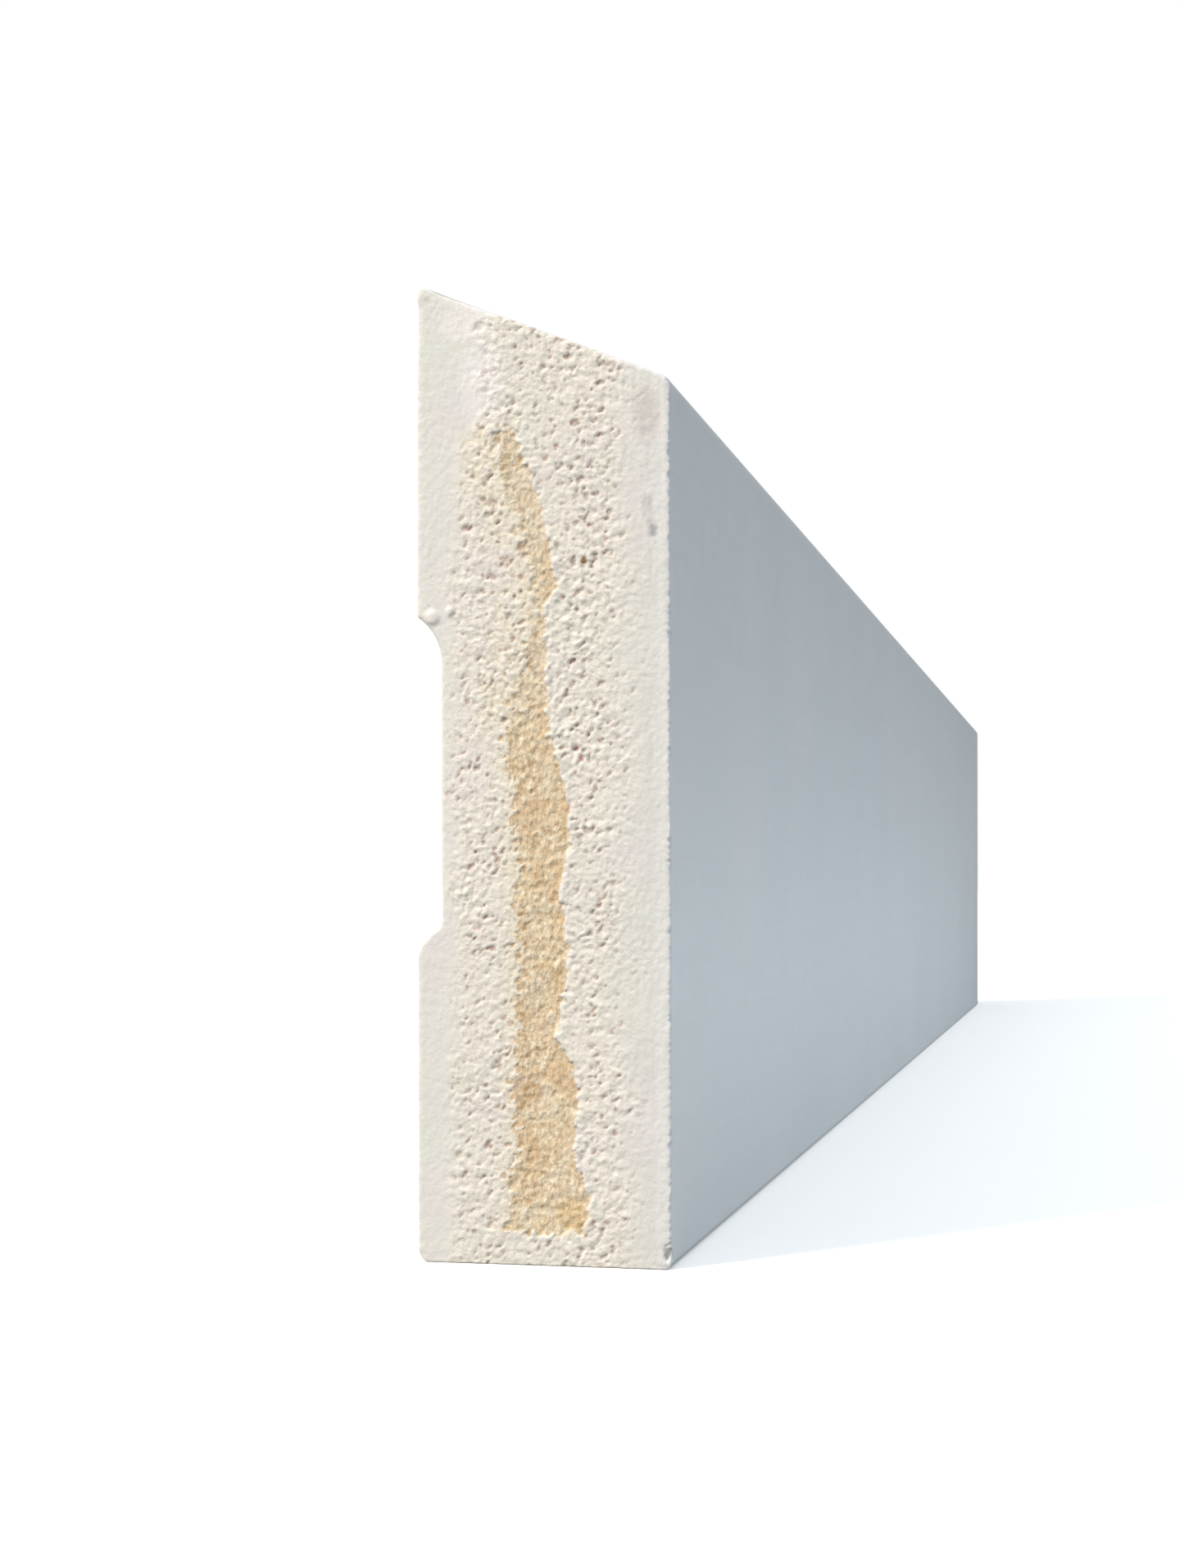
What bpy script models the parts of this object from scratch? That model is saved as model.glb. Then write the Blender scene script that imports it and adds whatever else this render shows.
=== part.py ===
# Bevelled architrave moulding: one length of fibreboard, machined and primed, cut square at both ends.
# It stands on its square edge. X runs through the thickness from the back to the show face,
# Y along the length away from the rough sawn end, and Z across the width. Units are metres.
# The origin is under the middle of the square edge.

import math

import bmesh
import bpy
from mathutils import Matrix, Vector

# Section
WIDTH = 0.068  # from the square edge to the top of the rounded tip, at the back
THICKNESS = 0.018  # from the back to the show face
BEVEL_ANGLE = math.radians(22.0)  # the bevelled edge falls this steeply from the tip to the face
LENGTH = 0.375

# Rounded long arrises
TIP_RADIUS = 0.0005  # between the bevel and the back
BROW_RADIUS = 0.0012  # between the bevel and the show face
TOE_RADIUS = 0.0005  # between the show face and the square edge
HEEL_RADIUS = 0.0009  # between the square edge and the back

# Relief groove along the back, which lets the two shoulders bear on an uneven wall
GROOVE_HEIGHT = 0.0220  # from the square edge to the groove's lower lip
GROOVE_WIDTH = 0.0230  # from the lower lip to the upper mouth
GROOVE_DEPTH = 0.00175
COVE_RADIUS = 0.0040  # hollow under the upper mouth, which meets the back at a sharp corner
FLANK_ANGLE = math.radians(50.0)  # slope of the lower flank, from the groove's floor
FLOOR_FILLET_RADIUS = 0.0009  # between the floor and the lower flank
LIP_RADIUS = 0.0020  # between the lower flank and the back

# Small chip broken out of the toe at the rough sawn end
CHIP_HEIGHT = 0.0010  # from the square edge to the chip's middle
CHIP_RADII = Vector((0.0006, 0.0005, 0.0008))  # half its size through, along and across

ARC_STEPS = 8  # straight segments in each rounded corner
WELD_DISTANCE = 0.000001


def clear_scene():
    for old in list(bpy.data.objects):
        bpy.data.objects.remove(old, do_unlink=True)


def make_collection(name):
    collection = bpy.data.collections.new(name)
    bpy.context.scene.collection.children.link(collection)
    return collection


def make_primer():
    material = bpy.data.materials.new("primer")
    material.use_nodes = True
    shader = material.node_tree.nodes["Principled BSDF"]
    shader.inputs["Base Color"].default_value = (0.66, 0.68, 0.70, 1.0)
    shader.inputs["Roughness"].default_value = 0.6
    shader.inputs["Metallic"].default_value = 0.0
    return material


def rounded_corner(before, corner, after, radius):
    """Points of the arc of this radius that touches both sides of a corner."""
    to_before = (before - corner).normalized()
    to_after = (after - corner).normalized()
    half_angle = to_before.angle(to_after) / 2
    start = corner + to_before * (radius / math.tan(half_angle))
    centre = corner + (to_before + to_after).normalized() * (radius / math.sin(half_angle))
    spoke = start - centre
    turn = math.pi - 2 * half_angle
    if to_before.cross(to_after) > 0:
        turn = -turn
    return [centre + Matrix.Rotation(turn * i / ARC_STEPS, 2) @ spoke for i in range(ARC_STEPS + 1)]


def cove_points(back, floor):
    """The hollow from the groove's upper mouth down to where its floor begins."""
    mouth_height = GROOVE_HEIGHT + GROOVE_WIDTH
    sweep = math.acos(1 - GROOVE_DEPTH / COVE_RADIUS)
    floor_start = mouth_height - COVE_RADIUS * math.sin(sweep)
    points = [Vector((back, mouth_height))]
    for i in range(1, ARC_STEPS + 1):
        angle = sweep * (1 - i / ARC_STEPS)
        across = floor - COVE_RADIUS * (1 - math.cos(angle))
        points.append(Vector((across, floor_start + COVE_RADIUS * math.sin(angle))))
    return points


def sharp_tip_height():
    """Where the bevel would meet the back if the tip weren't rounded down to the width."""
    return WIDTH + TIP_RADIUS * (math.tan(BEVEL_ANGLE) + 1 / math.cos(BEVEL_ANGLE) - 1)


def section_outline():
    """The moulding's outline as points of (thickness, width), anticlockwise from the heel."""
    back = -THICKNESS / 2
    face = THICKNESS / 2
    floor = back + GROOVE_DEPTH
    heel = Vector((back, 0.0))
    toe = Vector((face, 0.0))
    tip = Vector((back, sharp_tip_height()))
    brow = Vector((face, tip.y - THICKNESS * math.tan(BEVEL_ANGLE)))
    cove = cove_points(back, floor)
    lip = Vector((back, GROOVE_HEIGHT))
    floor_corner = Vector((floor, GROOVE_HEIGHT + GROOVE_DEPTH / math.tan(FLANK_ANGLE)))
    return [
        *rounded_corner(lip, heel, toe, HEEL_RADIUS),
        *rounded_corner(heel, toe, brow, TOE_RADIUS),
        *rounded_corner(toe, brow, tip, BROW_RADIUS),
        *rounded_corner(brow, tip, cove[0], TIP_RADIUS),
        *cove,
        *rounded_corner(cove[-1], floor_corner, lip, FLOOR_FILLET_RADIUS),
        *rounded_corner(floor_corner, lip, heel, LIP_RADIUS),
    ]


def make_section_curve(outline, collection):
    """A flat filled curve in the section's plane, thickened along Y to the moulding's length."""
    data = bpy.data.curves.new("section", "CURVE")
    data.dimensions = "2D"
    data.fill_mode = "BOTH"
    data.extrude = LENGTH / 2
    spline = data.splines.new("POLY")
    spline.points.add(len(outline) - 1)
    for point, (across, up) in zip(spline.points, outline):
        point.co = (across, up, 0.0, 1.0)
    spline.use_cyclic_u = True
    section = bpy.data.objects.new("section", data)
    section.rotation_euler = (math.radians(90.0), 0.0, 0.0)
    collection.objects.link(section)
    return section


def curve_to_mesh_object(curve, name, collection):
    """Turns an evaluated curve into a closed mesh object of its own and removes the curve."""
    bpy.context.view_layer.update()
    evaluated = curve.evaluated_get(bpy.context.evaluated_depsgraph_get())
    mesh = bpy.data.meshes.new_from_object(evaluated)
    mesh.name = name
    work = bmesh.new()
    work.from_mesh(mesh)
    bmesh.ops.remove_doubles(work, verts=work.verts, dist=WELD_DISTANCE)
    bmesh.ops.recalc_face_normals(work, faces=work.faces)
    work.to_mesh(mesh)
    work.free()
    solid = bpy.data.objects.new(name, mesh)
    solid.matrix_world = curve.matrix_world
    collection.objects.link(solid)
    bpy.data.objects.remove(curve, do_unlink=True)
    return solid


def make_chip_cutter(collection):
    """A coarse ball on the toe's arris at the rough sawn end, the shape of the lost chip."""
    mesh = bpy.data.meshes.new("chip_cutter")
    work = bmesh.new()
    bmesh.ops.create_icosphere(work, subdivisions=1, radius=1.0)
    bmesh.ops.scale(work, vec=CHIP_RADII, verts=work.verts)
    work.to_mesh(mesh)
    work.free()
    cutter = bpy.data.objects.new("chip_cutter", mesh)
    cutter.location = (THICKNESS / 2, -LENGTH / 2, CHIP_HEIGHT)
    cutter.hide_render = True
    cutter.display_type = "WIRE"
    collection.objects.link(cutter)
    return cutter


def make_architrave(parts, cutters):
    section = make_section_curve(section_outline(), parts)
    moulding = curve_to_mesh_object(section, "architrave", parts)
    moulding.data.materials.append(make_primer())
    moulding.data.shade_smooth()
    moulding.data.set_sharp_from_angle(angle=math.radians(30.0))
    chip = moulding.modifiers.new("chip", "BOOLEAN")
    chip.operation = "DIFFERENCE"
    chip.object = make_chip_cutter(cutters)
    return moulding


def main():
    clear_scene()
    make_architrave(make_collection("architrave_moulding"), make_collection("cutters"))


main()
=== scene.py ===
import math

import bpy
import numpy as np
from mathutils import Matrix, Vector, noise


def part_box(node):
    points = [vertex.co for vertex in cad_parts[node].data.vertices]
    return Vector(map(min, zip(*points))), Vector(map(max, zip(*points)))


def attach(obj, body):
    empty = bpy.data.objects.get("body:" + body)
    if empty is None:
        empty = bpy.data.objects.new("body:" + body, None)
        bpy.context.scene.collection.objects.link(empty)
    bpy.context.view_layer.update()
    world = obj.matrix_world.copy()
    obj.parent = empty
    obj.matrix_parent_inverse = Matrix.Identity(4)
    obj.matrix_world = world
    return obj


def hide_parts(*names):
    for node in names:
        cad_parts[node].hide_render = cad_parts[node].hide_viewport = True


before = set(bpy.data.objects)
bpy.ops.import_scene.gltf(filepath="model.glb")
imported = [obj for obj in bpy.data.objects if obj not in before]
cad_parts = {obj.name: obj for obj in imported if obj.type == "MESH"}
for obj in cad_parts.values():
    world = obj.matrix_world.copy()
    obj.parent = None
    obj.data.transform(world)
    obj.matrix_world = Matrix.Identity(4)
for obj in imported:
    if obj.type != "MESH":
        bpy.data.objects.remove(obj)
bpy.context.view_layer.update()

# A length of primed fibreboard architrave: long faces machined and sprayed, near end sawn and brushed with
# primer by hand, so that a streak of bare board shows down the middle. Relief and marks are worked out in
# millimetres on the end, x from the back and z up from the square edge.

mm = 0.001
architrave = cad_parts["architrave"]
low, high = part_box("architrave")


# Small helpers

def smoothStep(value, start, end):
    share = np.clip((value - start) / (end - start), 0.0, 1.0)
    return share * share * (3 - 2 * share)


def hump(distance, width):
    return np.exp(-(distance / width) ** 2)


def grain(x, z, size, layer, tall=1.0):
    # smooth noise from about -1 to 1, its cells this size in mm and drawn out upwards by tall;
    # layer picks one of its many patterns
    spots = zip((x / size).ravel().tolist(), (z / (size * tall)).ravel().tolist())
    return np.array([noise.noise((a, b, layer)) for a, b in spots]).reshape(x.shape)


def crumbs(x, z, size, layer, lean):
    # how far each point lies from the nearest crumb's middle, in crumbs, and that crumb's own number
    # from 0 to 1; the crumbs are drawn out by lean towards the upper right
    along = ((x + z) / (size * lean * math.sqrt(2))).ravel().tolist()
    across = ((z - x) / (size * math.sqrt(2))).ravel().tolist()
    found = (noise.voronoi((a, b, layer)) for a, b in zip(along, across))
    nearest = [(away[0], middles[0]) for away, middles in found]
    away = np.array([distance for distance, _ in nearest])
    own = np.array([(12.9 * middle.x + 78.2 * middle.y) % 1 for _, middle in nearest])
    return away.reshape(x.shape), own.reshape(x.shape)


# The profile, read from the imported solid

profilePlan = {
    "flatStep": 2.0,  # mm between points on the long flats
    "flatGuard": 0.1,  # mm from an arris to the point that keeps the flat's shading flat
    "endSlack": 1e-6,  # m, how far from the end's plane a point may lie and still be on it
}


def readProfile():
    # the solid's far end is one flat face, and its rim is the profile, anticlockwise from the heel
    mesh = architrave.data
    onEnd = [abs(v.co.y - high.y) < profilePlan["endSlack"] for v in mesh.vertices]
    spots = [(round((v.co.x - low.x) / mm, 4), round((v.co.z - low.z) / mm, 4)) for v in mesh.vertices]
    uses = {}
    for polygon in mesh.polygons:
        if all(onEnd[i] for i in polygon.vertices):
            for a, b in polygon.edge_keys:
                side = frozenset((spots[a], spots[b]))
                uses[side] = uses.get(side, 0) + 1
    beside = {}
    for side, count in uses.items():
        if count == 1:
            a, b = side
            beside.setdefault(a, []).append(b)
            beside.setdefault(b, []).append(a)
    heel = min(beside, key=lambda p: p[0] + p[1])
    rim = [heel, max(beside[heel], key=lambda p: p[0] - p[1])]
    while len(rim) < len(beside):
        rim.append(next(p for p in beside[rim[-1]] if p != rim[-2]))
    return rim


def splitSides(rim):
    # the square edge, the show face, the bevel and the back, each from corner to corner
    toe = max(range(len(rim)), key=lambda i: rim[i][0] - rim[i][1])
    brow = max(range(len(rim)), key=lambda i: rim[i][0] + rim[i][1])
    tip = max(range(len(rim)), key=lambda i: rim[i][1] - rim[i][0])
    return [rim[:toe + 1], rim[toe:brow + 1], rim[brow:tip + 1], rim[tip:] + rim[:1]]


def evenPoints(path, count):
    path = np.array(path)
    run = np.concatenate([[0.0], np.cumsum(np.hypot(*np.diff(path, axis=0).T))])
    at = np.linspace(0.0, run[-1], count + 1)
    return np.column_stack([np.interp(at, run, path[:, 0]), np.interp(at, run, path[:, 1])])


def sparsePoints(rim):
    # the rim's own points, with more along each long flat
    points = []
    for start, end in zip(rim, rim[1:] + rim[:1]):
        start, end = np.array(start), np.array(end)
        length = np.hypot(*(end - start))
        points.append(start)
        if length > profilePlan["flatStep"]:
            guard = profilePlan["flatGuard"] / length
            steps = math.ceil(length / profilePlan["flatStep"])
            for share in np.linspace(guard, 1 - guard, steps + 1):
                points.append(start + (end - start) * share)
    return np.array(points)


def outwardNormals(loop):
    along = np.roll(loop, -2, axis=0) - np.roll(loop, 2, axis=0)
    along /= np.linalg.norm(along, axis=1, keepdims=True)
    return np.column_stack([along[:, 1], -along[:, 0]])


profile = readProfile()
print("profile read:", len(profile), "points")


# The bare streak, which the brush missed

bareStreak = {
    # height, left edge and right edge, in mm
    "stations": [
        (2.2, 6.2, 12.1), (4.8, 6.6, 12.2), (6.5, 6.9, 11.5), (8.2, 7.1, 11.2), (12.2, 6.7, 11.5),
        (13.9, 6.8, 11.1), (15.6, 7.2, 10.0), (17.3, 7.1, 10.4), (21.8, 7.0, 10.8), (25.8, 7.1, 10.3),
        (29.2, 7.0, 11.1), (33.2, 6.7, 10.6), (36.6, 6.4, 9.6), (38.8, 6.7, 9.4), (42.2, 7.7, 9.3),
        (45.2, 8.3, 9.1), (46.8, 8.2, 10.0), (49.0, 7.7, 9.6), (53.5, 6.4, 8.7), (55.8, 5.9, 7.7),
        (57.8, 5.4, 7.1),
    ],
    "lobes": 0.45,  # mm, how far the primer's rounded lobes reach in from the right
    "feather": 1.1,  # mm, how far the left edge breaks up, primer on the lumps and board in the hollows
    "clearBelow": 36.0,  # mm up, below which the left edge breaks up less
    "clearFade": 5.0,  # mm above and below that, over which it changes
    "leftWander": 0.35,  # mm, how far the left edge wanders
    "endWander": 0.5,  # mm, how far the foot and the head wander
}


def streakEdges(x, z, hollow):
    # how far each point lies inside the left edge, the right edge and the two ends, in mm
    heights, lefts, rights = np.array(bareStreak["stations"]).T
    clear, fade = bareStreak["clearBelow"], bareStreak["clearFade"]
    broken = smoothStep(z, clear - fade, clear + fade)
    feather = bareStreak["feather"] * (0.7 + 0.3 * broken)
    bites = grain(x, z, 0.8, 4.5)
    inside = x - np.interp(z, heights, lefts) - bareStreak["leftWander"] * grain(x, z, 1.5, 3.5)
    inside = inside + bites * (0.2 + 0.3 * broken) + feather * hollow
    lobes = np.abs(grain(x, z, 1.5, 5.5)) + 0.45 * np.abs(grain(x, z, 0.55, 6.5))
    lobes = lobes + 0.5 * grain(x, z, 0.38, 8.5)
    beyond = np.interp(z, heights, rights) + 0.12 - bareStreak["lobes"] * lobes - x + 0.15 * hollow
    foot = z - heights[0] - bareStreak["endWander"] * grain(x, z, 0.9, 7.5)
    head = heights[-1] - z - bareStreak["endWander"] * grain(x, z, 0.7, 9.5)
    return inside, beyond, np.minimum(foot, head) + 0.4 * hollow


# Marks seen on the sawn end: place and half size in mm, colour, how strong it is and how deep it sinks

endMarks = [
    {"at": (11.95, 48.60), "half": (0.28, 0.42), "tint": (0.36, 0.23, 0.13), "strength": 1.00, "sink": 0.03},
    {"at": (12.50, 48.20), "half": (0.18, 0.30), "tint": (0.34, 0.21, 0.17), "strength": 1.00, "sink": 0.05},
    {"at": (5.45, 47.65), "half": (0.36, 0.30), "tint": (0.42, 0.27, 0.24), "strength": 0.92, "sink": 0.09},
    {"at": (4.75, 47.70), "half": (0.14, 0.30), "tint": (0.44, 0.28, 0.24), "strength": 0.90, "sink": 0.07},
    {"at": (6.25, 47.75), "half": (0.13, 0.18), "tint": (0.42, 0.28, 0.24), "strength": 0.88, "sink": 0.07},
    {"at": (5.50, 52.75), "half": (0.34, 0.42), "tint": (0.42, 0.29, 0.20), "strength": 0.85, "sink": 0.08},
    {"at": (5.10, 51.90), "half": (0.34, 0.22), "tint": (0.38, 0.33, 0.24), "strength": 0.70, "sink": 0.08},
    {"at": (7.55, 49.30), "half": (0.34, 0.60), "tint": (0.54, 0.36, 0.24), "strength": 0.80, "sink": 0.03},
    {"at": (8.20, 41.60), "half": (0.40, 0.70), "tint": (0.50, 0.34, 0.21), "strength": 0.80, "sink": 0.03},
    {"at": (6.45, 55.20), "half": (0.45, 2.30), "tint": (0.56, 0.43, 0.25), "strength": 0.70, "sink": 0.00},
    {"at": (5.75, 57.20), "half": (0.34, 0.55), "tint": (0.46, 0.32, 0.18), "strength": 0.90, "sink": 0.06},
    {"at": (8.60, 56.90), "half": (0.20, 0.30), "tint": (0.36, 0.33, 0.31), "strength": 0.60, "sink": 0.08},
    {"at": (11.42, 35.65), "half": (0.25, 0.26), "tint": (0.30, 0.15, 0.13), "strength": 1.00, "sink": 0.07},
    {"at": (11.75, 34.95), "half": (0.22, 0.30), "tint": (0.48, 0.28, 0.24), "strength": 1.00, "sink": 0.06},
    {"at": (4.30, 23.25), "half": (0.42, 0.20), "tint": (0.60, 0.35, 0.30), "strength": 0.80, "sink": 0.04},
    {"at": (16.75, 50.60), "half": (0.45, 0.75), "tint": (0.40, 0.40, 0.42), "strength": 0.95, "sink": 0.00},
    {"at": (16.35, 52.20), "half": (0.55, 1.10), "tint": (0.46, 0.46, 0.46), "strength": 0.60, "sink": 0.00},
    {"at": (8.10, 12.00), "half": (1.10, 0.95), "tint": (0.50, 0.31, 0.14), "strength": 0.75, "sink": 0.02},
    {"at": (7.40, 11.10), "half": (0.45, 0.85), "tint": (0.44, 0.28, 0.13), "strength": 0.80, "sink": 0.02},
    {"at": (11.00, 3.60), "half": (1.50, 1.60), "tint": (0.68, 0.50, 0.25), "strength": 0.65, "sink": 0.00},
    {"at": (11.60, 5.85), "half": (0.10, 0.34), "tint": (0.70, 0.25, 0.14), "strength": 0.55, "sink": 0.02},
    {"at": (2.50, 12.10), "half": (0.13, 0.17), "tint": (0.40, 0.33, 0.31), "strength": 0.70, "sink": 0.07},
    {"at": (0.87, 45.75), "half": (0.10, 0.09), "tint": (0.08, 0.09, 0.10), "strength": 1.00, "sink": 0.04},
    {"at": (3.60, 65.30), "half": (1.70, 1.20), "tint": (0.91, 0.87, 0.86), "strength": 0.75, "sink": 0.00},
    {"at": (4.60, 61.40), "half": (1.40, 2.90), "tint": (0.91, 0.87, 0.87), "strength": 0.75, "sink": 0.00},
    # painted shade: grey round the nib at the tip
    {"at": (0.55, 67.15), "half": (0.60, 0.35), "tint": (0.57, 0.56, 0.51), "strength": 0.55, "sink": 0.00},
    {"at": (16.30, 58.60), "half": (1.20, 2.60), "tint": (0.58, 0.53, 0.515), "strength": 0.75, "sink": 0.00},
    {"at": (17.60, 1.15), "half": (0.22, 0.55), "tint": (0.24, 0.20, 0.20), "strength": 0.80, "sink": 0.05},
    # painted shade: grey at the foot of the show face's arris, under the chip
    {"at": (17.60, 0.25), "half": (0.70, 0.25), "tint": (0.42, 0.41, 0.42), "strength": 0.60, "sink": 0.00},
]

markRims = {
    "wobble": 0.35,  # how far a small mark's rim strays
    "wobbleSize": 0.22,  # mm
    "fade": (0.45, 1.45),  # where a mark starts to fade and where it ends, in its half sizes
}


def placeMarks(x, z):
    tint = np.ones(x.shape + (4,))
    tint[..., 3] = 0.0
    sink = np.zeros(x.shape)
    wobble = markRims["wobble"] * grain(x, z, markRims["wobbleSize"], 12.5)
    for mark in endMarks:
        away = np.hypot((x - mark["at"][0]) / mark["half"][0], (z - mark["at"][1]) / mark["half"][1])
        cover = 1 - smoothStep(away + wobble / (0.4 + min(mark["half"])), *markRims["fade"])
        tint[..., :3] += (np.array(mark["tint"]) - tint[..., :3]) * cover[..., None]
        tint[..., 3] = np.maximum(tint[..., 3], cover * mark["strength"])
        sink = np.maximum(sink, cover * mark["sink"])
    return tint, sink


# The relief of a sawn end

sawnEnd = {
    "cell": 0.125,  # mm between the near end's points
    "farCell": 0.40,  # and the plainer far end's
    "stray": 0.45,  # how far the points leave their grid, as a share of a cell
    "straySize": 0.31,  # mm
    "backSkin": (1.6, 3.6),  # mm from the back, where hard skin gives way to soft core
    "faceSkin": (12.8, 17.2),  # and where core gives way to the skin under the show face
    "skinWander": (0.9, 1.3),  # how far those two borders wander, in mm
    "smoothTop": 2.2,  # mm, how much further the back's skin reaches towards the tip
    "smoothFrom": (54, 60),  # mm up, where it starts to do so and where it does in full
    "headroom": 0.16,  # mm from the end's highest crumb down to its mean level
    "swell": 0.04,  # mm, the slow rise and fall of the whole end
    "warp": 0.14,  # mm, how far lumps and pits are pushed about, so that none is regular
    "warpSize": 0.5,  # mm
    "lumps": (0.028, 0.054, 0.056),  # mm, coarse, middling and fine lumps of primer on torn core
    "lumpSizes": (0.9, 0.36, 0.22),  # mm
    "patchSize": 3.2,  # mm, between lumpier and plainer places
    "tearSize": 0.34,  # mm, between the middles of torn pits
    "tearLean": 2.1,  # how much longer than wide the pits are
    "tearReach": (0.26, 0.58),  # from the middle to the rim of a small and a large pit, as shares of tearSize
    "tearDepth": 0.080,  # mm
    "tearRim": 0.030,  # mm, the crumbs that stand round a pit
    "crowd": (0.36, 0.88),  # the least and the most pits, as shares of the places for them
    "skinRipple": 0.016,  # mm, over the hard skin
    "strokes": 1.3,  # brush marks up the margin by the show face, as a share of skinRipple
    "strokesFrom": (11, 14),  # mm from the back, where they start and where they are full
    "veilFrom": (34, 41),  # mm up, where the primer beside the streak gets thin
    "veilTo": (57, 60),  # and where it is thick again
    "recess": 0.08,  # mm, from the primer down to bare board
    "lip": 0.07,  # mm, the ridge where the primer stops
    "fibre": 0.060,  # mm, fibres standing in the bare board
    "edgeRound": 0.07,  # mm, how much the sawn edge is rounded
    "teeth": 0.16,  # mm, crumbs along the show face's arris
    "worn": 0.11,  # mm, worn away beside the tip, which leaves the tip as a nib
    "wornBy": (0.5, 1.5, 9.0),  # mm from the tip, where the wear starts, is greatest and has mostly gone
    "wornAbove": (46, 50),  # mm up, since nothing is worn below the groove's mouth
    "rounds": ((0.03, 0.05, 0.9), (0.0, 0.22, 0.5)),  # two rims: mm in, mm down and share of the teeth
    "arrisGrey": (0.36, 0.35, 0.34),  # a grey line on the arris round the back and the bevel, stronger by the tip
    "bumps": (  # place, half size and height of blobs of primer by the groove's mouth, in mm
        ((1.10, 44.95), (0.58, 0.62), 0.16),
        ((2.38, 45.30), (0.32, 0.38), 0.15),
    ),
}


def sawnRelief(x, z, edge, isNear):
    # heights in mm, 0 at the highest crumb, and what the finish needs to know about each point
    wander = grain(x, z, 2.6, 1.5)
    smoothTop = sawnEnd["smoothTop"] * smoothStep(z, *sawnEnd["smoothFrom"])
    smoothTop = smoothTop * (0.85 + 1.1 * grain(x, z, 1.4, 19.5))
    backWander, faceWander = sawnEnd["skinWander"]
    core = smoothStep(x + backWander * wander - smoothTop, *sawnEnd["backSkin"])
    core = core * (1 - smoothStep(x + faceWander * wander, *sawnEnd["faceSkin"]))
    warpX = x + sawnEnd["warp"] * grain(x, z, sawnEnd["warpSize"], 21.5)
    warpZ = z + sawnEnd["warp"] * grain(x, z, sawnEnd["warpSize"], 22.5)
    coarse, middling, fine = [
        grain(warpX, warpZ, size, 13.5 + i) for i, size in enumerate(sawnEnd["lumpSizes"])
    ]
    patchy = np.clip(1.0 + 0.8 * grain(x, z, sawnEnd["patchSize"], 18.5), 0.5, 1.5)
    lump = sum(amount * part for amount, part in zip(sawnEnd["lumps"], (coarse, middling, fine))) * patchy
    away, own = crumbs(warpX, warpZ, sawnEnd["tearSize"], 35.5, sawnEnd["tearLean"])
    small, large = sawnEnd["tearReach"]
    reach = small + (large - small) * (7.3 * own % 1)
    ragged = 2.2 * (reach - away) - 0.6 * grain(x, z, 0.21, 38.5) - 0.5 * middling
    hole = smoothStep(ragged, -0.05, 0.75)
    ring = hump(ragged + 0.28, 0.22)
    height = sawnEnd["swell"] * grain(x, z, 6.0, 20.5) - sawnEnd["headroom"]
    strokes = sawnEnd["strokes"] * grain(x, z, 0.30, 43.5, 7.0) * smoothStep(x, *sawnEnd["strokesFrom"])
    ripple = 0.5 * grain(x, z, 0.60, 23.5, 1.6) + 1.4 * grain(x, z, 0.22, 24.5, 1.5) + strokes
    height += sawnEnd["skinRipple"] * ripple * (1 - 0.6 * core)

    # the bare streak, the veil of thin primer beside its upper part and the thick primer by its right edge
    hollow = 0.3 * hole * (own < 0.6) - 0.8 * middling - 0.4 * fine
    veil = smoothStep(z, *sawnEnd["veilFrom"]) * (1 - smoothStep(z, *sawnEnd["veilTo"]))
    inside, beyond, ends = streakEdges(x, z, hollow) if isNear else [np.full(x.shape, -9.0)] * 3
    bare = np.minimum(np.minimum((0.45 - 0.22 * veil) * inside, beyond), ends)
    isBare = smoothStep(bare, -0.06, 0.10)
    curtain = hump(np.maximum(-beyond, 0.0), 0.8) * smoothStep(-beyond, -0.2, 0.1)
    curtain = curtain * smoothStep(ends, -0.6, 0.2)

    # pits and lumps, fewer and lower on the skins and under the thick primer, and fibres on bare board
    least, most = sawnEnd["crowd"]
    gather = grain(x, z, 2.2, 36.5) + 0.7 * grain(x, z, 0.9, 40.5)
    crowd = (least + (most - least) * smoothStep(gather, -0.7, 0.7)) * (0.03 + 0.97 * core)
    crowd = crowd * (1 - 0.75 * curtain) * (1 + 0.2 * smoothStep(x, 9, 12))
    isTorn = smoothStep(crowd - own, -0.04, 0.04) * (0.3 + 0.7 * core)
    pit = hole * isTorn
    torn = (0.05 + 0.95 * core) * (1 - isBare)
    height += torn * lump * (1 + 0.5 * curtain)
    tear = sawnEnd["tearRim"] * ring - sawnEnd["tearDepth"] * hole * (0.6 + own)
    height += (1 - 0.5 * isBare) * isTorn * tear
    ridge = hump(-beyond - 0.25, 0.30) * np.clip(0.6 + 1.2 * grain(x, z, 0.9, 37.5), 0, 1)
    height += sawnEnd["lip"] * ridge * (ends > -0.3) * (1 - isBare)
    fibre = 1.2 * grain(x, z, 0.24, 25.5, 1.3) + 0.9 * grain(x, z, 0.38, 26.5, 1.3)
    fibre = fibre + 0.6 * grain(x, z, 0.9, 27.5)
    sunk = 0.1 + 0.9 * smoothStep(inside, 0.0, 2.0)
    height += isBare * (sawnEnd["fibre"] * fibre - sawnEnd["recess"] * sunk)

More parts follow.
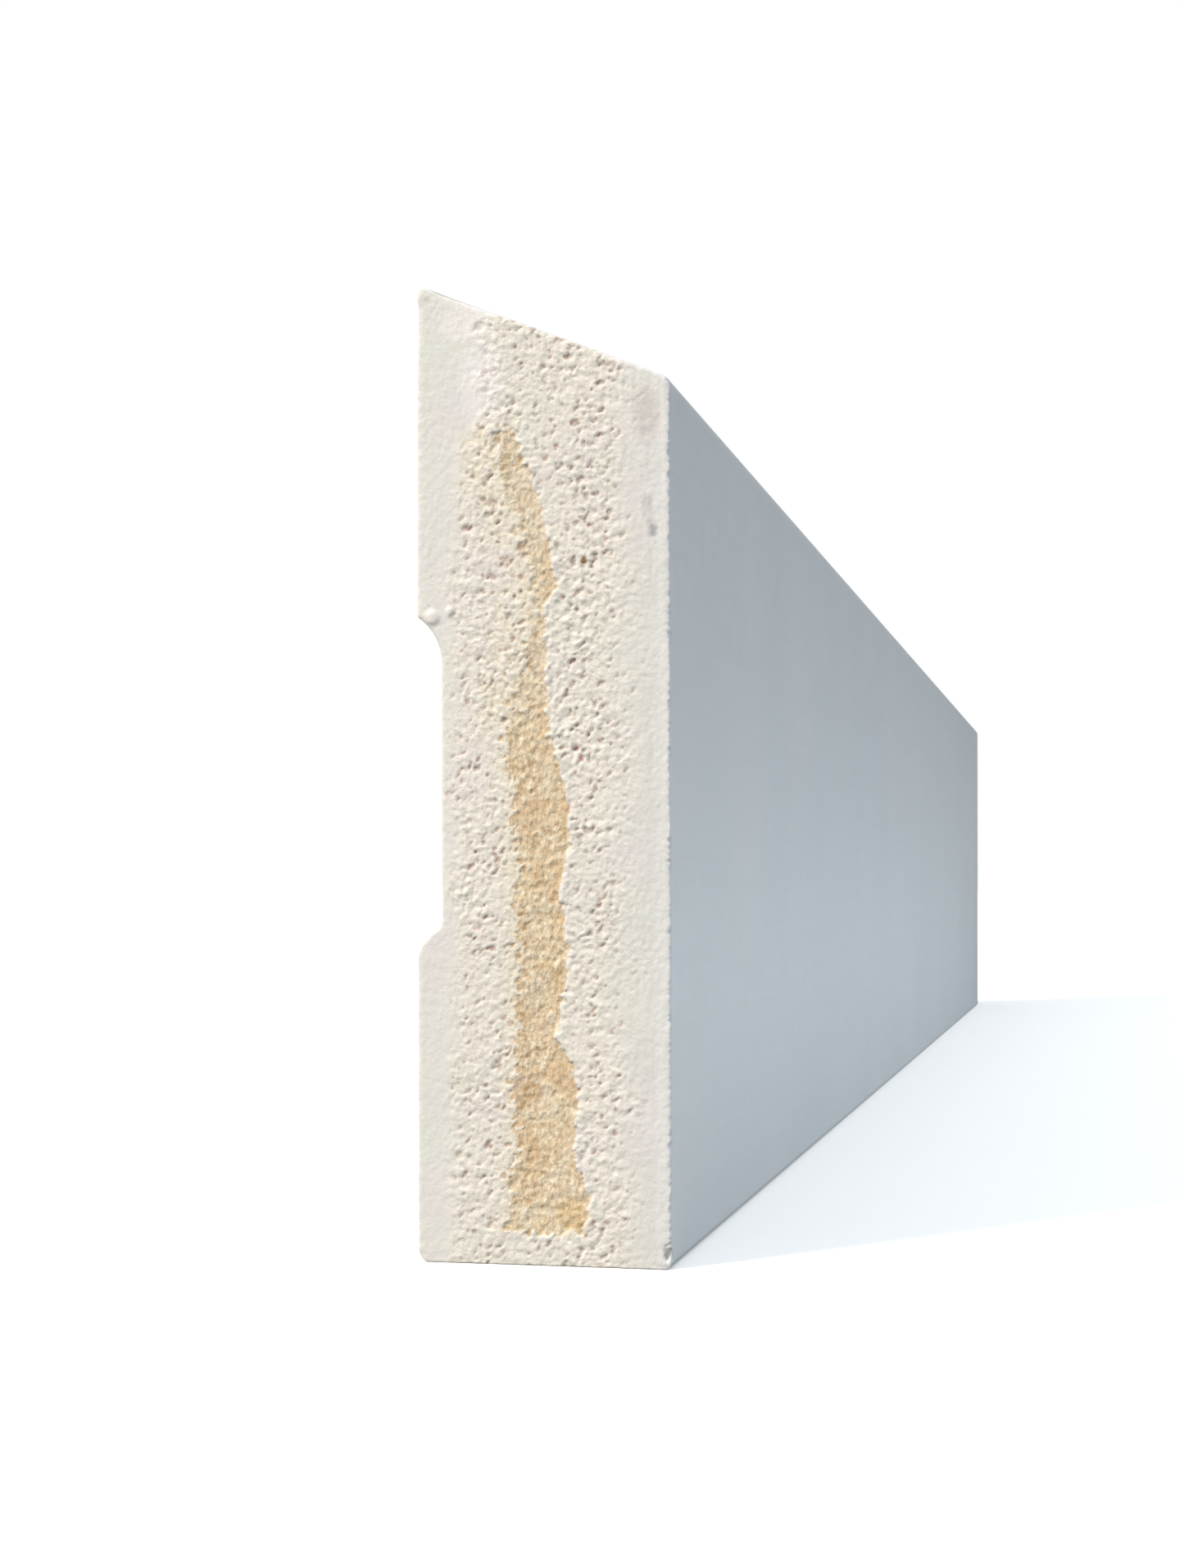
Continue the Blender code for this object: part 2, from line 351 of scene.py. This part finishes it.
    # where the primer is thin enough to look creamy, and where the board's rim is rusty
    thin = (1 - smoothStep(-inside, 0.2, 3.6)) * veil * (beyond > 0)
    thin = np.clip(thin * (0.75 + 0.8 * hollow + 0.6 * grain(x, z, 1.4, 28.5)), 0, 1)
    besideLeft = 0.8 * hump(np.maximum(-inside, 0.0), 0.7) * (beyond > 0) * (ends > 0) * (1 - isBare)
    thin = np.maximum(thin, besideLeft)
    thin = np.clip((0.75 - 0.2 * isBare) * thin + 0.3 * core * (1 - isBare), 0, 1)
    rusty = 0.7 * (1 - smoothStep(beyond, 0.1, 0.6))
    rusty = rusty + 0.6 * (1 - smoothStep(inside, 0.1, 0.9)) * (hollow > -0.1)
    rusty = np.clip(rusty, 0, 0.8) * isBare * (1 - 0.8 * veil)

    tint = np.zeros(x.shape + (4,))
    if isNear:
        tint, sink = placeMarks(x, z)
        height -= sink
        for at, half, rise in sawnEnd["bumps"]:
            fromMiddle = np.hypot((x - at[0]) / half[0], (z - at[1]) / half[1])
            height += rise * (1 - smoothStep(fromMiddle, 0.4, 1.1))
    crumble = (0.6 + 0.6 * grain(x, z, 0.5, 29.5)) * smoothStep(z, 0.0, 0.5)
    height -= sawnEnd["edgeRound"] * crumble * (1 - np.clip(edge / 0.4, 0, 1)) ** 2
    finish = {"bareBoard": bare, "thinPrimer": thin, "pitDepth": pit, "tornCore": torn, "rustyRim": rusty}
    return np.minimum(height, 0.0), {**finish, "markTint": tint}


# The moulding as one closed mesh

mouldingPlan = {
    "firstStations": (0.8, 1.6, 3.0, 6.0, 12.0),  # mm in from each sawn end
    "stationStep": 8.0,  # about this many mm between the rings of points in the middle
    "crispRow": 0.2,  # the first row's height above the square edge, in rows, for crisp shading there
    "chip": {"at": (18.0, 0.0, 1.0), "half": (0.6, 0.5, 0.8)},  # x, depth and height, as the solid has it
}


def offSquareEdge(rim):
    # almost 0 along the square edge, whose arris stays crisp, and 1 on the other sides
    return 0.05 + 0.95 * smoothStep(rim[:, 1], 0.1, 0.6)


def arrisTeeth(rim):
    # how far crumbs of the sawn end stop short of the rim, in mm, mostly along the show face
    x, z = rim.T
    teeth = (z / 0.66 + 1.8 * grain(x, z, 1.1, 33.5)) % 1
    teeth = np.clip((teeth + 0.9 * grain(x, z, 0.3, 34.5)) * (0.6 + 1.0 * grain(x, z, 0.9, 39.5)), 0, 1)
    teeth = teeth * offSquareEdge(rim) * (0.12 + 0.88 * smoothStep(outwardNormals(rim)[:, 0], 0.6, 0.9))
    return sawnEnd["teeth"] * teeth


def endPatch(cell, isNear):
    # a grid of points over the profile, its four sides following the profile's four sides
    across = round((high.x - low.x) / mm / cell)
    up = round((high.z - low.z) / mm / cell)
    sides = splitSides(profile)
    rim = np.vstack([evenPoints(side, count)[:-1] for side, count in zip(sides, (across, up, across, up))])
    if isNear:
        fromTip = np.hypot(*(rim - sides[2][-1]).T)
        start, most, gone = sawnEnd["wornBy"]
        worn = smoothStep(fromTip, start, most) * (1 - 0.8 * smoothStep(fromTip, most, gone))
        worn = worn * sawnEnd["worn"] * smoothStep(rim[:, 1], *sawnEnd["wornAbove"])
        rim = rim - outwardNormals(rim) * worn[:, None]
    rounding = sawnEnd["edgeRound"] * offSquareEdge(rim)
    inner = rim - outwardNormals(rim) * (rounding + arrisTeeth(rim))[:, None]
    bottom = inner[:across + 1]
    right = inner[across:across + up + 1]
    top = inner[across + up:2 * across + up + 1][::-1]
    left = np.vstack([inner[2 * across + up:], inner[:1]])[::-1]
    u = np.linspace(0, 1, across + 1)[None, :, None]
    v = np.linspace(0, 1, up + 1)[:, None, None]
    v[1] *= mouldingPlan["crispRow"]
    corners = (1 - u) * (1 - v) * bottom[0] + u * (1 - v) * bottom[-1]
    corners = corners + (1 - u) * v * top[0] + u * v * top[-1]
    grid = (1 - u) * left[:, None] + u * right[:, None] + (1 - v) * bottom[None] + v * top[None] - corners
    column, row = np.meshgrid(np.arange(across + 1), np.arange(up + 1))
    edge = np.minimum(np.minimum(column, across - column), np.minimum(row, up - row)) * cell
    return rim, grid, edge


class mouldingMesh:  # gathers points, faces and what the finish needs at each point
    def __init__(self):
        self.points = []
        self.faces = []
        self.finish = {"sawnFace": [], "markTint": []}
        self.blanks = {
            "bareBoard": -1.0, "thinPrimer": 0.0, "pitDepth": 0.0, "tornCore": 0.0, "rustyRim": 0.0,
        }

    def add(self, x, depth, z, sawn=0.0, **finish):
        first = sum(len(p) for p in self.points)
        count = x.size
        depth = np.broadcast_to(depth, x.shape)
        self.points.append(np.column_stack([x.ravel(), depth.ravel(), z.ravel()]))
        self.finish["sawnFace"].append(np.full(count, sawn))
        for name, blank in self.blanks.items():
            self.finish.setdefault(name, []).append(finish.get(name, np.full(count, blank)).ravel())
        self.finish["markTint"].append(finish.get("markTint", np.zeros((count, 4))).reshape(count, 4))
        return np.arange(first, first + count).reshape(x.shape)

    def strip(self, near, far):
        # joins two rims with as many points each
        for i in range(len(near)):
            k = (i + 1) % len(near)
            self.faces.append((near[i], far[i], far[k], near[k]))

    def knit(self, near, nearAt, far, farAt):
        # joins two rims with different numbers of points, each point placed by its share of the way round
        i = k = 0
        while i < len(near) or k < len(far):
            nextNear = nearAt[i + 1] if i + 1 < len(near) else 1.0 if i < len(near) else 9.0
            nextFar = farAt[k + 1] if k + 1 < len(far) else 1.0 if k < len(far) else 9.0
            a, b = near[i % len(near)], far[k % len(far)]
            if nextNear <= nextFar:
                i += 1
                self.faces.append((a, b, near[i % len(near)]))
            else:
                k += 1
                self.faces.append((a, b, far[k % len(far)]))


def shareRound(loop):
    steps = np.hypot(*(np.roll(loop, -1, axis=0) - loop).T)
    return np.concatenate([[0.0], np.cumsum(steps)[:-1]]) / steps.sum()


def gridRim(ids):
    return np.concatenate([ids[0, :-1], ids[:-1, -1], ids[-1, :0:-1], ids[:0:-1, 0]])


def addSawnEnd(parts, isNear):
    # returns the outermost rim's point numbers and its share of the way round
    cell = sawnEnd["cell"] if isNear else sawnEnd["farCell"]
    rim, grid, edge = endPatch(cell, isNear)
    x, z = grid[..., 0].copy(), grid[..., 1].copy()
    stray = np.clip(edge / cell - 1, 0, 1) * cell * sawnEnd["stray"]
    x += stray * grain(x, z, sawnEnd["straySize"], 31.5)
    z += stray * grain(x, z, sawnEnd["straySize"], 32.5)
    height, finish = sawnRelief(x, z, edge, isNear)
    ids = parts.add(x, -height, z, 1.0, **finish)
    quads = np.stack([ids[:-1, :-1], ids[:-1, 1:], ids[1:, 1:], ids[1:, :-1]], axis=-1).reshape(-1, 4)
    parts.faces.extend((quads if isNear else quads[:, ::-1]).tolist())
    rings = [gridRim(ids)]
    outward = outwardNormals(rim)
    base = -height.ravel()[rings[0] - ids[0, 0]]
    teeth = arrisTeeth(rim)
    byTip = 1 - smoothStep(np.hypot(rim[:, 0], rim[:, 1] - rim[:, 1].max()), 1.5, 5)
    # grey laid on the arris round the back and the bevel, more by the tip and none along the show face
    arrisGreyShare = (0.35 + 0.5 * byTip) * (1 - smoothStep(outward[:, 0], 0.4, 0.7))
    for inset, below, share in sawnEnd["rounds"]:
        bite = inset * offSquareEdge(rim) + share * teeth
        ring = rim - outward * bite[:, None]
        tint = np.tile((*sawnEnd["arrisGrey"], 0.0), (len(rim), 1))
        tint[:, 3] = arrisGreyShare * (1.0 if below > 0.1 else 0.35)
        rings.append(parts.add(ring[:, 0], base + below, ring[:, 1], 1.0 if inset else 0.0, markTint=tint))
    for inner, outer in zip(rings, rings[1:]):
        parts.strip(*((inner, outer) if isNear else (outer, inner)))
    return rings[-1], shareRound(rim)


def makeMoulding():
    parts = mouldingMesh()
    length = (high.y - low.y) / mm
    nearRim, nearAt = addSawnEnd(parts, True)
    nearCount = sum(len(p) for p in parts.points)
    loop = sparsePoints(profile)
    at = shareRound(loop)
    first = mouldingPlan["firstStations"]
    count = round((length - 2 * first[-1]) / mouldingPlan["stationStep"])
    middle = np.linspace(first[-1], length - first[-1], count)
    stations = list(first[:-1]) + middle.tolist() + [length - d for d in first[-2::-1]]
    rings = [parts.add(loop[:, 0], depth, loop[:, 1]) for depth in stations]
    parts.knit(nearRim, nearAt, rings[0], at)
    for near, far in zip(rings, rings[1:]):
        parts.strip(near, far)
    sideCount = sum(len(p) for p in parts.points)
    farRim, farAt = addSawnEnd(parts, False)
    parts.knit(rings[-1], at, farRim, farAt)

    points = np.vstack(parts.points)
    points[sideCount:, 1] = length - points[sideCount:, 1]
    chipOut(points[:nearCount + 2 * len(loop)])
    points = points * mm + np.array([low.x, low.y, low.z])
    mesh = bpy.data.meshes.new("mouldingLength")
    mesh.from_pydata(points.tolist(), [], parts.faces)
    for name, values in parts.finish.items():
        values = np.concatenate(values)
        if name == "markTint":
            mesh.attributes.new(name, "FLOAT_COLOR", "POINT").data.foreach_set("color", values.ravel())
        else:
            mesh.attributes.new(name, "FLOAT", "POINT").data.foreach_set("value", values)
    mesh.shade_smooth()
    mesh.update()
    moulding = bpy.data.objects.new("mouldingLength", mesh)
    bpy.context.scene.collection.objects.link(moulding)
    return moulding


def chipOut(points):
    # points inside the lost chip move out to its surface, which is broken rather than smooth
    chip = mouldingPlan["chip"]
    away = (points - np.array(chip["at"])) / np.array(chip["half"])
    distance = np.linalg.norm(away, axis=1)
    rough = 0.85 + 0.25 * grain(points[:, 0] + points[:, 1], points[:, 2], 0.22, 41.5)
    inside = distance < rough
    away[inside] *= (rough[inside] / np.maximum(distance[inside], 0.05))[:, None]
    points[inside] = np.array(chip["at"]) + away[inside] * np.array(chip["half"])
    points[:, 0] = np.minimum(points[:, 0], chip["at"][0])
    points[:, 1] = np.maximum(points[:, 1], 0.0)
    points[:, 2] = np.maximum(points[:, 2], 0.0)


# Finishes

def addNode(tree, kind, inputs=None, **settings):
    made = tree.nodes.new(kind)
    for name, value in settings.items():
        setattr(made, name, value)
    for name, value in (inputs or {}).items():
        if isinstance(value, bpy.types.NodeSocket):
            tree.links.new(value, made.inputs[name])
        else:
            made.inputs[name].default_value = value
    return made


def mixColours(tree, share, first, second):
    inputs = {0: share, 6: first, 7: second}
    return addNode(tree, "ShaderNodeMix", inputs, data_type="RGBA").outputs[2]


def calculate(tree, operation, first, second):
    return addNode(tree, "ShaderNodeMath", {0: first, 1: second}, operation=operation).outputs[0]


def remap(tree, value, fromLow, fromHigh, toLow=0.0, toHigh=1.0):
    inputs = {"Value": value, "From Min": fromLow, "From Max": fromHigh, "To Min": toLow, "To Max": toHigh}
    return addNode(tree, "ShaderNodeMapRange", inputs).outputs["Result"]


def noiseIn(tree, spots, scale, detail=2.0, roughness=0.5):
    inputs = {"Vector": spots, "Scale": scale, "Detail": detail, "Roughness": roughness}
    return addNode(tree, "ShaderNodeTexNoise", inputs).outputs["Fac"]


def spotsInMm(tree, stretch=(1.0, 1.0, 1.0)):
    # the piece's own coordinates in mm, squeezed along an axis to draw a pattern out along it
    own = addNode(tree, "ShaderNodeTexCoord").outputs["Object"]
    scale = [1 / mm / s for s in stretch]
    return addNode(tree, "ShaderNodeMapping", {"Vector": own, "Scale": scale}).outputs["Vector"]


def readPoint(tree, name):
    # what the mesh holds at each point under this name, as Fac, Color and Alpha
    return addNode(tree, "ShaderNodeAttribute", attribute_name=name, attribute_type="GEOMETRY").outputs


def startFinish(name):
    material = bpy.data.materials.new(name)
    material.use_nodes = True
    return material, material.node_tree, material.node_tree.nodes["Principled BSDF"]


primer = {
    # a cool white; its bluish tint is partly painted shade, the cool shade that falls on the show face
    "colour": (0.765, 0.785, 0.800, 1),
    "cooler": (0.735, 0.762, 0.785, 1),
    "cloudScale": 0.035,  # this and each scale below is in patterns per mm
    "line": (0.66, 0.69, 0.71, 1),  # faint lines that the machining left along the length
    "lineScale": 1.4,
    "lineStretch": 60.0,  # how many times longer than wide they are
    "throughBack": (0.70, 0.68, 0.63, 1),  # where the thin coat on the back lets the board through
    "throughScale": 1.3,
    "backReach": (2.2, 0.6),  # mm from the back, where the thin coat starts and where it is full
    "roughness": 0.55,
    "sheenScale": 0.6,
    "peel": 0.018,  # mm, orange peel
    "peelScale": 1.6,
    "bump": 0.6,  # how strongly the peel and the lines show
}


def makePrimer():
    material, tree, shader = startFinish("sprayedPrimer")
    spots = spotsInMm(tree)
    streaks = spotsInMm(tree, (1.0, primer["lineStretch"], 1.0))
    cloud = noiseIn(tree, spots, primer["cloudScale"], 3.0)
    colour = mixColours(tree, remap(tree, cloud, 0.35, 0.65), primer["colour"], primer["cooler"])
    line = noiseIn(tree, streaks, primer["lineScale"], 3.0, 0.6)
    colour = mixColours(tree, remap(tree, line, 0.3, 0.75, 0.0, 0.22), colour, primer["line"])
    across = addNode(tree, "ShaderNodeSeparateXYZ", {0: spots}).outputs["X"]
    start, full = primer["backReach"]
    onBack = remap(tree, across, low.x / mm + start, low.x / mm + full)
    patches = noiseIn(tree, spots, primer["throughScale"], 5.0, 0.65)
    thin = calculate(tree, "MULTIPLY", onBack, remap(tree, patches, 0.45, 0.75, 0.1, 0.7))
    colour = mixColours(tree, thin, colour, primer["throughBack"])
    marks = readPoint(tree, "markTint")
    colour = mixColours(tree, marks["Alpha"], colour, marks["Color"])
    tree.links.new(colour, shader.inputs["Base Color"])
    sheen = noiseIn(tree, spots, primer["sheenScale"])
    rough = remap(tree, sheen, 0.3, 0.7, primer["roughness"] - 0.06, primer["roughness"] + 0.08)
    tree.links.new(rough, shader.inputs["Roughness"])
    peel = noiseIn(tree, spots, primer["peelScale"])
    lines = calculate(tree, "MULTIPLY", line, 0.5)
    height = calculate(tree, "ADD", peel, lines)
    relief = {"Height": height, "Strength": primer["bump"], "Distance": primer["peel"] * mm}
    bump = addNode(tree, "ShaderNodeBump", relief)
    tree.links.new(bump.outputs["Normal"], shader.inputs["Normal"])
    return material


brushedEnd = {
    "primer": (0.775, 0.755, 0.720, 1),
    "nearFace": (0.715, 0.700, 0.672, 1),  # in the half towards the show face
    "overCore": (0.80, 0.775, 0.735, 1),  # on torn core
    "cream": (0.81, 0.745, 0.61, 1),  # where it is thin over board
    "lilac": (0.765, 0.725, 0.735, 1),  # faint clouds, as are the green ones
    "lilacScale": 0.16,  # this and each scale below is in patterns per mm
    "green": (0.755, 0.762, 0.705, 1),
    "greenScale": 0.21,
    "byArris": (0.80, 0.805, 0.80, 1),  # thicker, cooler primer along the show face's arris
    "pit": (0.46, 0.31, 0.26, 1),
    "pitGrey": (0.50, 0.42, 0.35, 1),
    # the dark and the pale board colours are partly the board's own fibres, partly painted shade in the
    # fibres' hollows and painted highlight on their tops
    "boardDarkAndShade": (0.52, 0.35, 0.19, 1),
    "board": (0.745, 0.605, 0.415, 1),
    "boardPaleAndHighlight": (0.92, 0.84, 0.65, 1),
    "boardRusty": (0.68, 0.485, 0.29, 1),
    "warmScale": 0.9,  # browner and greyer pits
    "blotchScale": 0.45,
    "dustScale": 0.30,
    "frayScale": 5.5,
    "fray": 0.14,  # mm, how far the streak's edge frays
    "mottleScale": 2.6,  # breaks up the weaker marks
    "crumbHeight": 0.06,  # mm
    "crumbScale": 3.4,
    "fuzzHeight": 0.15,  # mm
    "fuzzScale": 3.6,
    "toothHeight": 0.028,  # mm
    "toothScale": 4.2,
    "roughness": (0.62, 0.92),  # of the primer and of bare board
}


def makeBrushedEnd():
    material, tree, shader = startFinish("brushedPrimerOnSawnBoard")
    spots = spotsInMm(tree)
    across = addNode(tree, "ShaderNodeSeparateXYZ", {0: spots}).outputs["X"]
    torn = readPoint(tree, "tornCore")["Fac"]
    thin = readPoint(tree, "thinPrimer")["Fac"]

    lilac = noiseIn(tree, spots, brushedEnd["lilacScale"])
    green = noiseIn(tree, spotsInMm(tree, (1.3, 1.0, 1.0)), brushedEnd["greenScale"], 3.0)
    paint = mixColours(tree, remap(tree, across, 1.0, 5.5), brushedEnd["primer"], brushedEnd["nearFace"])
    paint = mixColours(tree, torn, paint, brushedEnd["overCore"])
    paint = mixColours(tree, remap(tree, lilac, 0.50, 0.68, 0.0, 0.75), paint, brushedEnd["lilac"])
    paint = mixColours(tree, remap(tree, green, 0.50, 0.70, 0.0, 0.7), paint, brushedEnd["green"])
    paint = mixColours(tree, remap(tree, across, 7.6, 8.4, 0.0, 0.6), paint, brushedEnd["byArris"])
    paint = mixColours(tree, thin, paint, brushedEnd["cream"])

    warm = noiseIn(tree, spots, brushedEnd["warmScale"])
    pitColour = mixColours(tree, remap(tree, warm, 0.42, 0.58), brushedEnd["pitGrey"], brushedEnd["pit"])
    crumb = noiseIn(tree, spots, brushedEnd["crumbScale"], 3.0, 0.62)
    speck = calculate(tree, "MULTIPLY", remap(tree, crumb, 0.40, 0.28, 0.0, 0.7), torn)
    pits = remap(tree, readPoint(tree, "pitDepth")["Fac"], 0.15, 0.75, 0.0, 0.85)
    pits = calculate(tree, "MAXIMUM", pits, speck)
    pits = calculate(tree, "MULTIPLY", pits, remap(tree, crumb, 0.68, 0.45, 0.4, 1.0))
    paint = mixColours(tree, pits, paint, pitColour)

    # the fibres' colour follows their relief, darker in its hollows and paler on its tops: partly the board's
    # own colour, partly painted shade and painted highlight
    fibres = noiseIn(tree, spotsInMm(tree, (1.0, 1.0, 1.7)), brushedEnd["fuzzScale"], 3.0, 0.64)
    lit = remap(tree, fibres, 0.32, 0.48, 0.15, 1.0)
    board = mixColours(tree, lit, brushedEnd["boardDarkAndShade"], brushedEnd["board"])
    board = mixColours(tree, remap(tree, fibres, 0.52, 0.66), board, brushedEnd["boardPaleAndHighlight"])
    blotch = noiseIn(tree, spots, brushedEnd["blotchScale"])
    board = mixColours(tree, remap(tree, blotch, 0.47, 0.68, 0.0, 0.7), board, brushedEnd["boardRusty"])
    dusty = noiseIn(tree, spots, brushedEnd["dustScale"], 4.0, 0.6)
    board = mixColours(tree, remap(tree, dusty, 0.50, 0.66, 0.0, 0.6), board, brushedEnd["cream"])
    board = mixColours(tree, calculate(tree, "MULTIPLY", thin, 0.9), board, brushedEnd["cream"])
    boardPits = remap(tree, readPoint(tree, "pitDepth")["Fac"], 0.15, 0.75, 0.0, 0.6)
    board = mixColours(tree, boardPits, board, brushedEnd["boardDarkAndShade"])
    rust = calculate(tree, "MULTIPLY", readPoint(tree, "rustyRim")["Fac"], remap(tree, warm, 0.40, 0.60))
    board = mixColours(tree, rust, board, brushedEnd["boardRusty"])

    frays = noiseIn(tree, spots, brushedEnd["frayScale"], 3.0, 0.6)
    frays = remap(tree, frays, 0.2, 0.8, -brushedEnd["fray"], brushedEnd["fray"])
    bare = remap(tree, calculate(tree, "ADD", readPoint(tree, "bareBoard")["Fac"], frays), -0.05, 0.07)
    colour = mixColours(tree, bare, paint, board)
    marks = readPoint(tree, "markTint")
    mottle = remap(tree, noiseIn(tree, spots, brushedEnd["mottleScale"], 3.0, 0.6), 0.36, 0.58, 1.0, 0.5)
    mottle = calculate(tree, "MAXIMUM", mottle, remap(tree, marks["Alpha"], 0.82, 0.95))
    marked = calculate(tree, "MULTIPLY", marks["Alpha"], mottle)
    colour = mixColours(tree, marked, colour, marks["Color"])
    tree.links.new(colour, shader.inputs["Base Color"])
    tree.links.new(remap(tree, bare, 0.0, 1.0, *brushedEnd["roughness"]), shader.inputs["Roughness"])

    # heights in mm: crumbs on torn core, fuzz on bare board and a fine tooth everywhere
    crumbTop = calculate(tree, "MULTIPLY", torn, brushedEnd["crumbHeight"])
    crumbHeight = calculate(tree, "MULTIPLY", crumb, crumbTop)
    fuzz = calculate(tree, "SUBTRACT", fibres, 0.5)
    fuzzTop = calculate(tree, "MULTIPLY", bare, brushedEnd["fuzzHeight"])
    fuzzHeight = calculate(tree, "MULTIPLY", fuzz, fuzzTop)
    tooth = noiseIn(tree, spots, brushedEnd["toothScale"], 3.0, 0.6)
    toothHeight = calculate(tree, "MULTIPLY", tooth, brushedEnd["toothHeight"])
    relief = calculate(tree, "ADD", calculate(tree, "ADD", crumbHeight, fuzzHeight), toothHeight)
    bump = addNode(tree, "ShaderNodeBump", {"Height": relief, "Strength": 1.0, "Distance": mm})
    tree.links.new(bump.outputs["Normal"], shader.inputs["Normal"])
    return material


moulding = makeMoulding()
print("moulding made:", len(moulding.data.polygons), "faces")
moulding.data.materials.append(makePrimer())
moulding.data.materials.append(makeBrushedEnd())
sawn = np.zeros(len(moulding.data.vertices))
moulding.data.attributes["sawnFace"].data.foreach_get("value", sawn)
for polygon in moulding.data.polygons:
    polygon.material_index = 1 if all(sawn[i] > 0.5 for i in polygon.vertices) else 0
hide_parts("architrave")
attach(moulding, "root")
print("finishes laid on")


# Floor, light and camera

floorPlan = {
    "reach": 30.0,  # m
    "gap": 0.00002,  # m, between it and the square edge
    "seen": (0.90, 0.90, 0.90, 1),
    "bounce": (0.20, 0.20, 0.20, 1),  # it throws back less than it shows, so the shaded face stays in shade
    "glow": 0.27,  # lifts its shadow almost to the white ground around it, for the camera alone
    "roughness": 0.9,
    "specular": 0.1,
}


def makeFloor():
    reach = floorPlan["reach"]
    mesh = bpy.data.meshes.new("floor")
    corners = [(-reach, -reach, 0), (reach, -reach, 0), (reach, reach, 0), (-reach, reach, 0)]
    mesh.from_pydata(corners, [], [(0, 1, 2, 3)])
    floor = bpy.data.objects.new("floor", mesh)
    floor.location.z = low.z - floorPlan["gap"]
    bpy.context.scene.collection.objects.link(floor)
    material, tree, shader = startFinish("paleFloor")
    rays = addNode(tree, "ShaderNodeLightPath").outputs["Is Camera Ray"]
    colour = mixColours(tree, rays, floorPlan["bounce"], floorPlan["seen"])
    tree.links.new(colour, shader.inputs["Base Color"])
    shader.inputs["Emission Color"].default_value = (1.0, 1.0, 1.0, 1)
    glow = calculate(tree, "MULTIPLY", rays, floorPlan["glow"])
    tree.links.new(glow, shader.inputs["Emission Strength"])
    shader.inputs["Roughness"].default_value = floorPlan["roughness"]
    shader.inputs["Specular IOR Level"].default_value = floorPlan["specular"]
    mesh.materials.append(material)


lightPlan = {
    "keyFrom": (-0.52, -0.56, 0.645),  # towards the lamp: upper left, in front of the sawn end
    "keySoftness": 8.0,  # degrees
    "keyPower": 3.3,
    "keyColour": (1.0, 0.92, 0.82),
    "stripPower": 0.094,  # W
    "stripColour": (0.86, 0.97, 1.03),
    "stripPlace": (0.10, 0.0, 0.010),  # low beside the show face, which lightens towards the floor
    "stripSize": (0.5, 0.02),  # m, along the moulding and up
    "skyTop": (1.75, 1.83, 1.90, 1),
    "skyRim": (0.21, 0.235, 0.255, 1),
    "skyPower": 4.0,  # how quickly it darkens down from the top
    "skySeen": (1.0, 1.0, 1.0, 1),
    "frontShare": 0.4,  # how much brighter the studio is in front than behind
}


def aimAlong(lamp, towards):
    lamp.rotation_euler = Vector(towards).to_track_quat("Z", "Y").to_euler()


def makeLights():
    key = bpy.data.lights.new("keyLamp", "SUN")
    key.angle = math.radians(lightPlan["keySoftness"])
    key.energy = lightPlan["keyPower"]
    key.color = lightPlan["keyColour"]
    keyLamp = bpy.data.objects.new("keyLamp", key)
    aimAlong(keyLamp, lightPlan["keyFrom"])
    bpy.context.scene.collection.objects.link(keyLamp)
    strip = bpy.data.lights.new("stripLamp", "AREA")
    strip.shape = "RECTANGLE"
    strip.size, strip.size_y = lightPlan["stripSize"]
    strip.energy = lightPlan["stripPower"]
    strip.color = lightPlan["stripColour"]
    stripLamp = bpy.data.objects.new("stripLamp", strip)
    stripLamp.location = lightPlan["stripPlace"]
    aimAlong(stripLamp, (1.0, 0.0, 0.0))
    stripLamp.visible_camera = False
    bpy.context.scene.collection.objects.link(stripLamp)


def makeSky():
    world = bpy.data.worlds.new("studio")
    bpy.context.scene.world = world
    world.use_nodes = True
    tree = world.node_tree
    tree.nodes.clear()
    way = addNode(tree, "ShaderNodeTexCoord").outputs["Generated"]
    parts = addNode(tree, "ShaderNodeSeparateXYZ", {0: way})
    rise = calculate(tree, "POWER", remap(tree, parts.outputs["Z"], 0.0, 1.0), lightPlan["skyPower"])
    colour = mixColours(tree, rise, lightPlan["skyRim"], lightPlan["skyTop"])
    share = lightPlan["frontShare"]
    front = remap(tree, parts.outputs["Y"], -1.0, 1.0, 1 + share, 1 - share)
    rays = addNode(tree, "ShaderNodeLightPath").outputs["Is Camera Ray"]
    colour = mixColours(tree, rays, colour, lightPlan["skySeen"])
    strength = addNode(tree, "ShaderNodeMix", {0: rays, 2: front, 3: 1.0}, data_type="FLOAT").outputs[0]
    background = addNode(tree, "ShaderNodeBackground", {"Color": colour, "Strength": strength})
    output = addNode(tree, "ShaderNodeOutputWorld")
    tree.links.new(background.outputs[0], output.inputs[0])


cameraPlan = {
    "place": (0.03843, low.y - 0.15821, 0.02603),
    "turn": (90.0, 0.08, 12.446),  # degrees: level, and turned left towards the sawn end
    "photoHeight": 1913,  # pixels
    "focalPixels": 2880,
    "horizonRow": 1084,
    "sensorWidth": 36.0,  # mm
    "clip": (0.01, 100.0),  # m
}


def makeCamera():
    data = bpy.data.cameras.new("camera")
    tall = cameraPlan["photoHeight"]
    data.sensor_width = cameraPlan["sensorWidth"]
    data.lens = cameraPlan["focalPixels"] / tall * data.sensor_width
    data.shift_y = (cameraPlan["horizonRow"] - tall / 2) / tall
    data.clip_start, data.clip_end = cameraPlan["clip"]
    camera = bpy.data.objects.new("camera", data)
    camera.location = cameraPlan["place"]
    camera.rotation_euler = [math.radians(a) for a in cameraPlan["turn"]]
    bpy.context.scene.collection.objects.link(camera)
    bpy.context.scene.camera = camera


makeFloor()
makeLights()
makeSky()
makeCamera()
bpy.context.scene.view_settings.view_transform = "Standard"
print("floor, lights and camera set")
